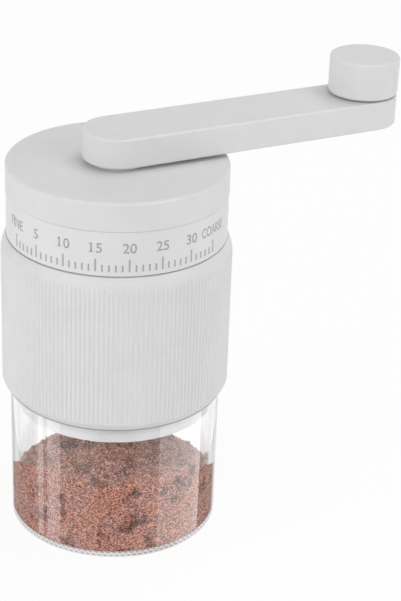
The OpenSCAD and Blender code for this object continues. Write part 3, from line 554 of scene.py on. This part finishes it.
def make_grounds():
    """The heap: a spun cone, banked up to one side and roughened, with loose crumbs on it."""
    wall_r = JAR_R - JAR_WALL + HEAP_PRESS
    rim_r = wall_r - JAR_DRAFT * (1 - HEAP_LOW_RIM / JAR_H)
    peak = HEAP_TOP - HEAP_BANK / 2
    floor_z = JAR_FLOOR + 0.04
    profile = [(0, floor_z), (wall_r - 2 * FLOOR_EDGE, floor_z)] + jar_inside(HEAP_PRESS)[1:-1][::-1]
    profile.append((rim_r, HEAP_LOW_RIM))
    rings = 24
    blunt = math.sqrt(HEAP_ROUND)
    for k in range(1, rings + 1):
        left = 1 - k / rings
        fall = (math.sqrt(left ** 2 + HEAP_ROUND) - blunt) / (math.sqrt(1 + HEAP_ROUND) - blunt)
        profile.append((rim_r * left, peak - (peak - HEAP_LOW_RIM) * fall))
    heap = turned("grounds_heap", profile, 96)
    low_z = HEAP_LOW_RIM - 0.1
    pick(heap, lambda place: place.z > low_z)
    bpy.ops.mesh.subdivide(number_cuts=3)
    bpy.ops.object.mode_set(mode="OBJECT")
    top = heap.vertex_groups.new(name="open_top")
    bank = heap.vertex_groups.new(name="bank")
    for point in heap.data.vertices:
        place = point.co / MM
        if place.z > low_z:
            out = place.xy.length / rim_r
            aside = math.atan2(place.y, place.x) - HEAP_HEADING
            cling = HEAP_CLING * out ** 6 * math.sin(2 * aside) ** 2 if math.cos(aside) > 0 else 0
            top.add([point.index], 1.0, "REPLACE")
            bank.add([point.index], min(1, max(0, 0.5 + out * math.cos(aside) / 2 + cling)), "REPLACE")
    lift = heap.modifiers.new("bank", "DISPLACE")
    lift.direction = "Z"
    lift.mid_level = 0
    lift.strength = HEAP_BANK * MM
    lift.vertex_group = "bank"
    for relief, size, strength in HEAP_RELIEF:
        cloud = bpy.data.textures.new(relief, "CLOUDS")
        cloud.noise_scale = size * MM
        cloud.noise_depth = 1
        push = heap.modifiers.new(relief, "DISPLACE")
        push.texture = cloud
        push.texture_coords = "LOCAL"
        push.direction = "Z"
        push.mid_level = 0.5
        push.strength = strength * MM
        push.vertex_group = "open_top"
    apply_modifiers(heap)
    smooth(heap, 60)
    crumbs = scatter_crumbs(heap)
    only(heap)
    for crumb in crumbs:
        crumb.select_set(True)
    bpy.ops.object.join()
    return finish_piece(heap, FINISH["ground_coffee"], "jar", "coffee_grounds")


def scatter_crumbs(heap):
    """Coarse crumbs: one is shaped, and turned copies lie on the slope and cling to the wall beside it."""
    chance = random.Random(11)
    bpy.ops.object.select_all(action="DESELECT")
    bpy.ops.mesh.primitive_ico_sphere_add(subdivisions=1, radius=CRUMB_R * MM)
    crumb = named("crumb")
    bpy.ops.object.mode_set(mode="EDIT")
    bpy.ops.mesh.select_all(action="SELECT")
    bpy.ops.transform.vertex_random(offset=0.16 * MM, seed=4)
    bpy.ops.object.mode_set(mode="OBJECT")
    crumbs = []
    for number in range(CRUMBS + WALL_CRUMBS):
        size = chance.uniform(0.55, 1.25)
        if number < CRUMBS:
            heading = chance.uniform(0, math.tau)
            reach = CRUMB_REACH * math.sqrt(chance.random())
        else:
            heading = HEAP_HEADING + math.radians(chance.uniform(*WALL_CRUMB_TURN))
            reach = JAR_R - JAR_WALL - JAR_DRAFT - CRUMB_R * size
        spot = Vector((reach * math.cos(heading), reach * math.sin(heading), JAR_H)) * MM
        landed, spot, tilt, face = heap.ray_cast(spot, Vector((0, 0, -1)))
        if not landed:
            continue
        above = 0.1 if number < CRUMBS else chance.uniform(*WALL_CRUMB_RISE)
        copy = crumb.copy()
        copy.data = crumb.data.copy()
        copy.location = spot + Vector((0, 0, above * MM))
        copy.rotation_euler = [chance.uniform(0, math.tau) for axis in range(3)]
        copy.scale = [size * chance.uniform(0.75, 1.2) for axis in range(3)]
        bpy.context.collection.objects.link(copy)
        crumbs.append(copy)
    bpy.data.objects.remove(crumb)
    return crumbs


# Ribbed grip sleeve
def make_grip():
    """The grip: a spun sleeve with a slanting foot and a bevelled top, and grooves pressed between them."""
    edge = 0.25
    bevel_foot = GRIP_TOP - BEVEL_H
    profile = [(SKIRT_R, LIP_Z), (LIP_R - 0.1, LIP_Z), (LIP_R, LIP_Z + 0.1)]
    profile += [(GRIP_R - 0.2, LIP_TOP - 0.25), (GRIP_R - 0.06, LIP_TOP), (GRIP_R, LIP_TOP + 0.2)]
    profile += [(GRIP_R, RIB_FOOT), (GRIP_R, bevel_foot - 0.9)]
    profile += [(GRIP_R - 0.03, bevel_foot - 0.3), (GRIP_R - 0.12, bevel_foot + 0.25)]
    profile += [(GRIP_R - 0.27, bevel_foot + 0.8), (GRIP_R - 0.62, bevel_foot + 1.9)]
    profile += [(GRIP_R - BEVEL_W + 0.1, GRIP_TOP - edge)]
    profile += [(GRIP_R - BEVEL_W, GRIP_TOP - 0.08), (GRIP_R - BEVEL_W - edge, GRIP_TOP)]
    profile += [(TUBE_R + 0.03, GRIP_TOP), (TUBE_R + 0.03, GRIP_TOP - GRIP_WEB)]
    profile += [(SKIRT_R, GRIP_TOP - GRIP_WEB), (SKIRT_R, LIP_Z)]
    columns = len(RIB_FORM)
    grip = turned("grip", profile, RIBS * columns)
    run_out = bevel_foot + 0.3

    def groove(place, column):
        """True on the sleeve's ribbed side, at the given column of each rib."""
        if not RIB_FOOT - 0.1 < place.z < run_out or place.xy.length < GRIP_R - 1.0:
            return False
        return round(math.degrees(math.atan2(place.y, place.x)) * RIBS * columns / 360) % columns == column

    for column, depth in enumerate(RIB_FORM):
        if depth:
            inward = 1 - depth * RIB_DEPTH / GRIP_R
            pick(grip, lambda place: groove(place, column))
            bpy.ops.transform.resize(value=(inward, inward, 1), center_override=(0, 0, 0))
    bpy.ops.object.mode_set(mode="OBJECT")
    smooth(grip, 40)
    return finish_piece(grip, FINISH["grip_plastic"], "housing", "grip_sleeve")


def make_foot_seal():
    """A thin dark grey ring under the grip's slanting foot: painted shade that draws the shadow line in the
    gap there.
    """
    seal_r = LIP_R - 0.12
    profile = [(SKIRT_R + 0.02, GRIP_Z), (seal_r - 0.05, GRIP_Z), (seal_r, GRIP_Z + 0.05)]
    profile += [(seal_r, LIP_Z + 0.02), (SKIRT_R + 0.02, LIP_Z + 0.02), (SKIRT_R + 0.02, GRIP_Z)]
    seal = smooth(turned("shadow_line_ring", profile, 240))
    return finish_piece(seal, PAINTED_SHADOW_GREY, "housing")


# Dial ring and its print
def make_dial():
    """The dial: a plain spun ring with a recess in its top."""
    low_edge = 0.15
    high_edge = 0.08
    profile = [(DIAL_BORE_R, DIAL_Z)]
    profile += arc(DIAL_R - low_edge, DIAL_Z + low_edge, low_edge, -90, 0, 4)
    profile += arc(DIAL_R - high_edge, DIAL_TOP - high_edge, high_edge, 0, 90, 4)
    profile += [(DIAL_RECESS_R, DIAL_TOP), (DIAL_RECESS_R, DIAL_RECESS_Z), (DIAL_BORE_R, DIAL_RECESS_Z)]
    profile += [(DIAL_BORE_R, DIAL_Z)]
    dial = smooth(turned("dial", profile, 240))
    return finish_piece(dial, FINISH["dial_plastic"], "dial", "dial_ring")


TICK_FIRST = -58.2
TICK_STEP = 3.38
FRONT_TURN = -27.9
TICK_Z = 83.9
SHORT_TICK = 1.8
LONG_TICK = 3.3
TICK_W = 0.42
FIGURE_Z = 88.95
FIGURE_H = 2.65
FIGURE_SHARE = 0.73
FIGURE_AHEAD = 4
ONE_STEM = 0.33
ONE_STROKE = 0.24
ONE_FOOT = 1.1
ONE_FLAG = 0.6
ONE_SHIFT = 0.15
INK_T = 0.03
INK_SPREAD = 0.03
WORD_WIDTH = {"FINE": 0.86, "COARSE": 0.72}


def turn_about_axis(degrees):
    """Turns the selected points about the main axis, counter-clockwise seen from above."""
    bpy.ops.transform.rotate(value=-math.radians(degrees), orient_axis="Z", center_override=(0, 0, 0))


def tick_row(name, height, first, count):
    """Every fifth tick on the dial's face from a first one, which is drawn and then spun."""
    bpy.ops.object.select_all(action="DESELECT")
    bpy.ops.mesh.primitive_cube_add(
        size=MM, location=(0, -(DIAL_R + INK_T / 2) * MM, (TICK_Z + height / 2) * MM),
        scale=(TICK_W, INK_T * 3, height),
    )
    row = place_in_mesh(named(name))
    bpy.ops.object.mode_set(mode="EDIT")
    bpy.ops.mesh.select_all(action="SELECT")
    turn_about_axis(TICK_FIRST + TICK_STEP * first + FRONT_TURN)
    span = math.radians(TICK_STEP * 5 * (count - 1))
    bpy.ops.mesh.spin(steps=count - 1, dupli=True, angle=-span, center=(0, 0, 0), axis=(0, 0, 1))
    bpy.ops.object.mode_set(mode="OBJECT")
    return row


def label(text, degrees, narrow=1.0):
    """Figures or a word, laid flat before the dial, projected on its face and given the ink's thickness."""
    bpy.ops.object.select_all(action="DESELECT")
    front = -(DIAL_R + FIGURE_AHEAD)
    bpy.ops.object.text_add(location=(0, front * MM, FIGURE_Z * MM), rotation=(math.pi / 2, 0, 0))
    words = bpy.context.object
    words.data.body = text
    words.data.align_x = "CENTER"
    words.data.size = FIGURE_H / FIGURE_SHARE * MM
    words.scale.x = narrow
    words.data.resolution_u = 4
    words.data.offset = INK_SPREAD * MM
    bpy.ops.object.convert(target="MESH")
    words = place_in_mesh(named("label_" + text))
    if text.startswith("1"):
        draw_one(words)
    wrap = words.modifiers.new("on_face", "SHRINKWRAP")
    wrap.target = DIAL
    wrap.wrap_method = "PROJECT"
    wrap.use_project_x = False
    wrap.use_project_y = True
    wrap.use_project_z = False
    wrap.use_positive_direction = True
    wrap.use_negative_direction = False
    wrap.offset = INK_T * MM
    film = words.modifiers.new("film", "SOLIDIFY")
    film.thickness = 2 * INK_T * MM
    film.offset = -1
    apply_modifiers(words)
    bpy.ops.object.mode_set(mode="EDIT")
    bpy.ops.mesh.select_all(action="SELECT")
    turn_about_axis(degrees + FRONT_TURN)
    bpy.ops.object.mode_set(mode="OBJECT")
    return words


def draw_one(words):
    """Gives the plain upright of a leading figure one its foot and its flag, and room for them."""
    stem_x = min(point.co.x for point in words.data.vertices) / MM + ONE_STEM / 2
    pick(words, lambda place: place.x < stem_x + ONE_STEM)
    bpy.ops.transform.translate(value=(-ONE_SHIFT * MM, 0, 0))
    bpy.ops.object.mode_set(mode="OBJECT")
    stem_x -= ONE_SHIFT
    strokes = (
        ("foot", stem_x, FIGURE_Z + ONE_STROKE / 2, ONE_FOOT, 0),
        ("flag", stem_x - ONE_FLAG / 3, FIGURE_Z + FIGURE_H - 0.33, ONE_FLAG, -40),
    )
    pieces = []
    for name, x, z, wide, lean in strokes:
        bpy.ops.object.select_all(action="DESELECT")
        bpy.ops.mesh.primitive_plane_add(
            size=MM, location=(x * MM, -(DIAL_R + FIGURE_AHEAD) * MM, z * MM),
            rotation=(math.pi / 2, math.radians(lean), 0),
        )
        stroke = named(name)
        stroke.scale = (wide, ONE_STROKE, 1)
        pieces.append(place_in_mesh(stroke))
    only(words)
    for piece in pieces:
        piece.select_set(True)
    bpy.ops.object.join()


def make_dial_print():
    """The dial's scale: long and short ticks, figures and the two words, as one thin film of ink."""
    pieces = [tick_row("long_ticks", LONG_TICK, 0, 8)]
    pieces += [tick_row("short_ticks", SHORT_TICK, first, 7) for first in range(1, 5)]
    words = ["FINE"] + [str(n) for n in range(5, 35, 5)] + ["COARSE"]
    for number, word in enumerate(words):
        pieces.append(label(word, TICK_FIRST + TICK_STEP * 5 * number, WORD_WIDTH.get(word, 1.0)))
    bpy.ops.object.select_all(action="DESELECT")
    for piece in pieces:
        piece.select_set(True)
    bpy.context.view_layer.objects.active = pieces[0]
    bpy.ops.object.join()
    ink = named("dial_print")
    only(ink)
    bpy.ops.object.mode_set(mode="EDIT")
    bpy.ops.mesh.select_all(action="SELECT")
    bpy.ops.mesh.normals_make_consistent(inside=False)
    bpy.ops.object.mode_set(mode="OBJECT")
    return finish_piece(ink, INK, "dial")


# Cap
def make_cap():
    """The cap: a spun lid with a plug that carries the seal, and a boss for its bush."""
    bush_r = 8.11
    boss_r = 11.08
    boss_z = RIM_Z + 0.4
    seal_z = (PLUG_Z + RIM_Z) / 2
    seal_h = 0.63
    seat_r = 20.74
    wall_r = CAP_R - 2.4
    plug_bore_r = PLUG_R - 2.2
    profile = [(bush_r, boss_z), (boss_r, boss_z), (boss_r, CAP_ROOF_Z), (plug_bore_r, CAP_ROOF_Z)]
    profile += [(plug_bore_r, PLUG_Z), (PLUG_R - 0.3, PLUG_Z), (PLUG_R, PLUG_Z + 0.3)]
    profile += [(PLUG_R, seal_z - seal_h), (seat_r, seal_z - seal_h)]
    profile += [(seat_r, seal_z + seal_h), (PLUG_R, seal_z + seal_h), (PLUG_R, RIM_Z)]
    profile += [(TUBE_R, RIM_Z), (TUBE_R, CAP_ROOF_Z), (wall_r, CAP_ROOF_Z), (wall_r, RIM_Z)]
    profile += arc(CAP_R - 0.06, RIM_Z + 0.06, 0.06, -90, 0, 3)
    profile += arc(CAP_R - CAP_EDGE, CAP_TOP - CAP_EDGE, CAP_EDGE, 0, 90, 8)
    profile += [(bush_r, CAP_TOP), (bush_r, boss_z)]
    cap = smooth(turned("cap", profile, 240))
    return finish_piece(cap, FINISH["white_plastic"], "cap", "top_cap")


# Crank arm and knob
def make_arm():
    """The crank arm: a disc pulled out to its reach, rounded, with seats for its hub and the knob's axle."""
    sides = 144
    hub_r = 5.56
    screw_r = 1.53
    head_r = 5.03
    axle_r = 3.03
    bpy.ops.object.select_all(action="DESELECT")
    bpy.ops.mesh.primitive_cylinder_add(
        vertices=sides, radius=ARM_R * MM, depth=(ARM_TOP - ARM_Z) * MM,
        location=(0, 0, (ARM_Z + ARM_TOP) / 2 * MM), rotation=(0, 0, math.pi / sides),
    )
    arm = place_in_mesh(named("arm"))
    pick(arm, lambda place: place.x > 0)
    bpy.ops.transform.translate(value=(REACH * MM, 0, 0))
    bpy.ops.object.mode_set(mode="OBJECT")
    edges = arm.modifiers.new("edges", "BEVEL")
    edges.width = ARM_EDGE * MM
    edges.segments = 5
    edges.limit_method = "ANGLE"
    edges.angle_limit = math.radians(40)
    apply_modifiers(arm)
    drilled(arm, 6, hub_r, 0, ARM_Z - 1, ARM_Z + 3.03, 30)
    drilled(arm, 32, screw_r, 0, ARM_Z, ARM_TOP - 1.7)
    drilled(arm, 48, head_r, REACH, ARM_Z - 1, ARM_Z + 2.2)
    drilled(arm, 48, axle_r, REACH, ARM_Z, ARM_TOP + 1)
    smooth(arm, 30)
    return finish_piece(arm, FINISH["white_plastic"], "crank", "crank_arm")


def make_knob():
    """The knob: a spun cup with rounded edges, open below for its bush."""
    cavity_r = 6.11
    roof_z = KNOB_TOP - 2.2
    profile = [(cavity_r, KNOB_Z)]
    profile += arc(KNOB_R - KNOB_EDGE, KNOB_Z + KNOB_EDGE, KNOB_EDGE, -90, 0, 6)
    profile += arc(KNOB_R - KNOB_EDGE, KNOB_TOP - KNOB_EDGE, KNOB_EDGE, 0, 90, 6)
    profile += [(0, KNOB_TOP)]
    inner = [(0, roof_z), (cavity_r, roof_z), (cavity_r, KNOB_Z)]
    knob = turned("crank_knob", profile + inner, 160)
    only(knob)
    bpy.ops.object.mode_set(mode="EDIT")
    bpy.ops.mesh.select_all(action="SELECT")
    bpy.ops.transform.translate(value=(REACH * MM, 0, 0))
    bpy.ops.object.mode_set(mode="OBJECT")
    smooth(knob)
    return finish_piece(knob, FINISH["white_plastic"], "knob", "knob")


make_jar()
make_grounds()
make_grip()
make_foot_seal()
DIAL = make_dial()
make_dial_print()
make_cap()
make_arm()
make_knob()


# Studio: a white floor that keeps the soft shadow, a pale world and broad lamps
FLOOR_GLOW = 0.93


def straight_view(tree):
    """One for a ray that the camera sees straight, in a reflection or through the jar, else nought."""
    ray = add(tree, "ShaderNodeLightPath")
    shown = ray.outputs["Is Camera Ray"]
    for kind in ("Is Glossy Ray", "Is Transmission Ray"):
        shown = add(tree, "ShaderNodeMath", {0: shown, 1: ray.outputs[kind]}, operation="MAXIMUM").outputs[0]
    return shown


def make_floor():
    """A pale floor with a glow of its own, which keeps the grinder's soft shadow."""
    bpy.ops.object.select_all(action="DESELECT")
    bpy.ops.mesh.primitive_plane_add(size=6, location=(0, 0, 0))
    floor = place_in_mesh(named("studio_floor"))
    material, tree, surface, output = blank_material("studio_floor")
    place = in_millimetres(tree)
    cloud = add(tree, "ShaderNodeTexNoise", {"Vector": place, "Scale": 0.01, "Detail": 2.0})
    tint = two_tone(tree, cloud.outputs["Fac"], (0.93, 0.93, 0.93), (0.95, 0.95, 0.95))
    tree.links.new(tint, surface.inputs["Base Color"])
    surface.inputs["Roughness"].default_value = 0.9
    surface.inputs["Specular IOR Level"].default_value = 0.0
    white = add(tree, "ShaderNodeEmission", {"Color": (1, 1, 1, 1), "Strength": 1.0})
    part = add(tree, "ShaderNodeMath", {0: straight_view(tree), 1: FLOOR_GLOW}, operation="MULTIPLY")
    mix = add(tree, "ShaderNodeMixShader", {0: part.outputs[0]})
    tree.links.new(surface.outputs["BSDF"], mix.inputs[1])
    tree.links.new(white.outputs["Emission"], mix.inputs[2])
    tree.links.new(mix.outputs["Shader"], output.inputs["Surface"])
    floor.data.materials.append(material)
    floor.visible_glossy = False


LAMP_AIM = Vector((0, 0, 0.06))
SCREEN_AWAY = 0.5


def softbox(name, heading, height, away, wide, tall, level):
    """An oblong lamp that faces the grinder from a heading in degrees, its sizes in metres."""
    bpy.ops.object.select_all(action="DESELECT")
    turn = math.radians(heading)
    place = Vector((away * math.cos(turn), away * math.sin(turn), height))
    bpy.ops.object.light_add(type="AREA", location=place)
    lamp = named(name)
    lamp.rotation_euler = (place - LAMP_AIM).to_track_quat("Z", "Y").to_euler()
    lamp.data.shape = "RECTANGLE"
    lamp.data.size = wide
    lamp.data.size_y = tall
    lamp.data.energy = level * math.pi * wide * tall
    return lamp


def screen(name, heading, top, wide, tall, glow):
    """A screen of plain glow that stands upright at a heading and only shows as a gloss in the jar."""
    bpy.ops.object.select_all(action="DESELECT")
    turn = math.radians(heading)
    place = Vector((SCREEN_AWAY * math.cos(turn), SCREEN_AWAY * math.sin(turn), top - tall / 2))
    bpy.ops.mesh.primitive_plane_add(size=1, location=place, rotation=(math.pi / 2, 0, turn - math.pi / 2))
    card = named(name)
    card.scale = (wide, tall, 1)
    place_in_mesh(card)
    material, tree, surface, output = blank_material(name)
    weave = add(tree, "ShaderNodeTexNoise", {"Vector": in_millimetres(tree), "Scale": 0.5})
    tint = two_tone(tree, weave.outputs["Fac"], (0.97 * glow,) * 3, (1.03 * glow,) * 3)
    tree.links.new(tint, surface.inputs["Emission Color"])
    surface.inputs["Emission Strength"].default_value = 1
    surface.inputs["Base Color"].default_value = (0.01, 0.01, 0.01, 1)
    surface.inputs["Roughness"].default_value = 0.9
    card.data.materials.append(material)
    card.visible_camera = False
    card.visible_diffuse = False
    card.visible_transmission = False
    card.visible_shadow = False


HORIZON_LIGHT = 0.70
ZENITH_LIGHT = 0.17


def make_world():
    """White to the camera, and a pale light from the horizon that fades to the zenith for all else."""
    world = bpy.data.worlds.new("studio")
    bpy.context.scene.world = world
    world.use_nodes = True
    tree = world.node_tree
    tree.nodes.clear()
    around = add(tree, "ShaderNodeTexCoord").outputs["Generated"]
    heading = add(tree, "ShaderNodeSeparateXYZ", {"Vector": around})
    sky_light = add(tree, "ShaderNodeMapRange", {
        "Value": heading.outputs["Z"], "From Min": 0.0, "From Max": 1.0,
        "To Min": HORIZON_LIGHT, "To Max": ZENITH_LIGHT,
    })
    level = add(tree, "ShaderNodeMapRange", {
        "Value": straight_view(tree), "From Min": 0.0, "From Max": 1.0,
        "To Min": sky_light.outputs["Result"], "To Max": 1.0,
    })
    sky = add(tree, "ShaderNodeBackground", {"Color": (1, 1, 1, 1), "Strength": level.outputs["Result"]})
    add(tree, "ShaderNodeOutputWorld", {"Surface": sky.outputs["Background"]})


VIEW_TURN = math.radians(27.9)
VIEW_RISE = math.radians(26.153)
VIEW_ROLL = math.radians(2.153)
VIEW_TARGET = Vector((19.61, -10.38, 63.14)) * MM
VIEW_AWAY = 468.268 * MM
VIEW_LENS = 106.69


def make_camera():
    """The photograph's view: its place, lens and slight roll."""
    turn = VIEW_TURN
    rise = VIEW_RISE
    roll = VIEW_ROLL
    right = Vector((math.cos(turn), -math.sin(turn), 0))
    ahead = Vector((math.sin(turn) * math.cos(rise), math.cos(turn) * math.cos(rise), -math.sin(rise)))
    up = right.cross(ahead)
    side = right * math.cos(roll) + up * math.sin(roll)
    top = up * math.cos(roll) - right * math.sin(roll)
    bpy.ops.object.camera_add(location=VIEW_TARGET - ahead * VIEW_AWAY)
    camera = named("photo_camera")
    facing = Matrix((side, top, -ahead)).transposed().to_4x4()
    camera.matrix_world = Matrix.Translation(camera.location) @ facing
    camera.data.lens = VIEW_LENS
    camera.data.sensor_width = 36
    camera.data.clip_start = 0.01
    bpy.context.scene.camera = camera


make_floor()
make_world()
softbox("key_softbox", 0, 1.28, 0.445, 0.8, 0.8, 3.1)
softbox("right_softbox", -58, 0.547, 1.205, 0.8, 0.8, 1.95)
softbox("left_softbox", 182, 0.547, 1.205, 0.8, 0.8, 2.18)
softbox("front_softbox", -148, 0.547, 1.205, 0.8, 0.8, 1.66)
softbox("right_strip", -33.8, -0.575, 1.0, 1.12, 0.8, 2.2)
softbox("left_strip", 175.3, -0.575, 1.0, 0.31, 0.8, 2.2)
softbox("left_thin_strip", 156.7, -0.575, 1.0, 0.14, 0.8, 2.0)
screen("front_screen", -111.6, -0.2, 0.376, 0.4, 0.15)
screen("right_screen", 15, -0.272, 0.364, 0.3, 0.34)
screen("left_screen", 119.5, -0.272, 0.566, 0.3, 0.36)
make_camera()
bpy.context.scene.view_settings.view_transform = "Standard"
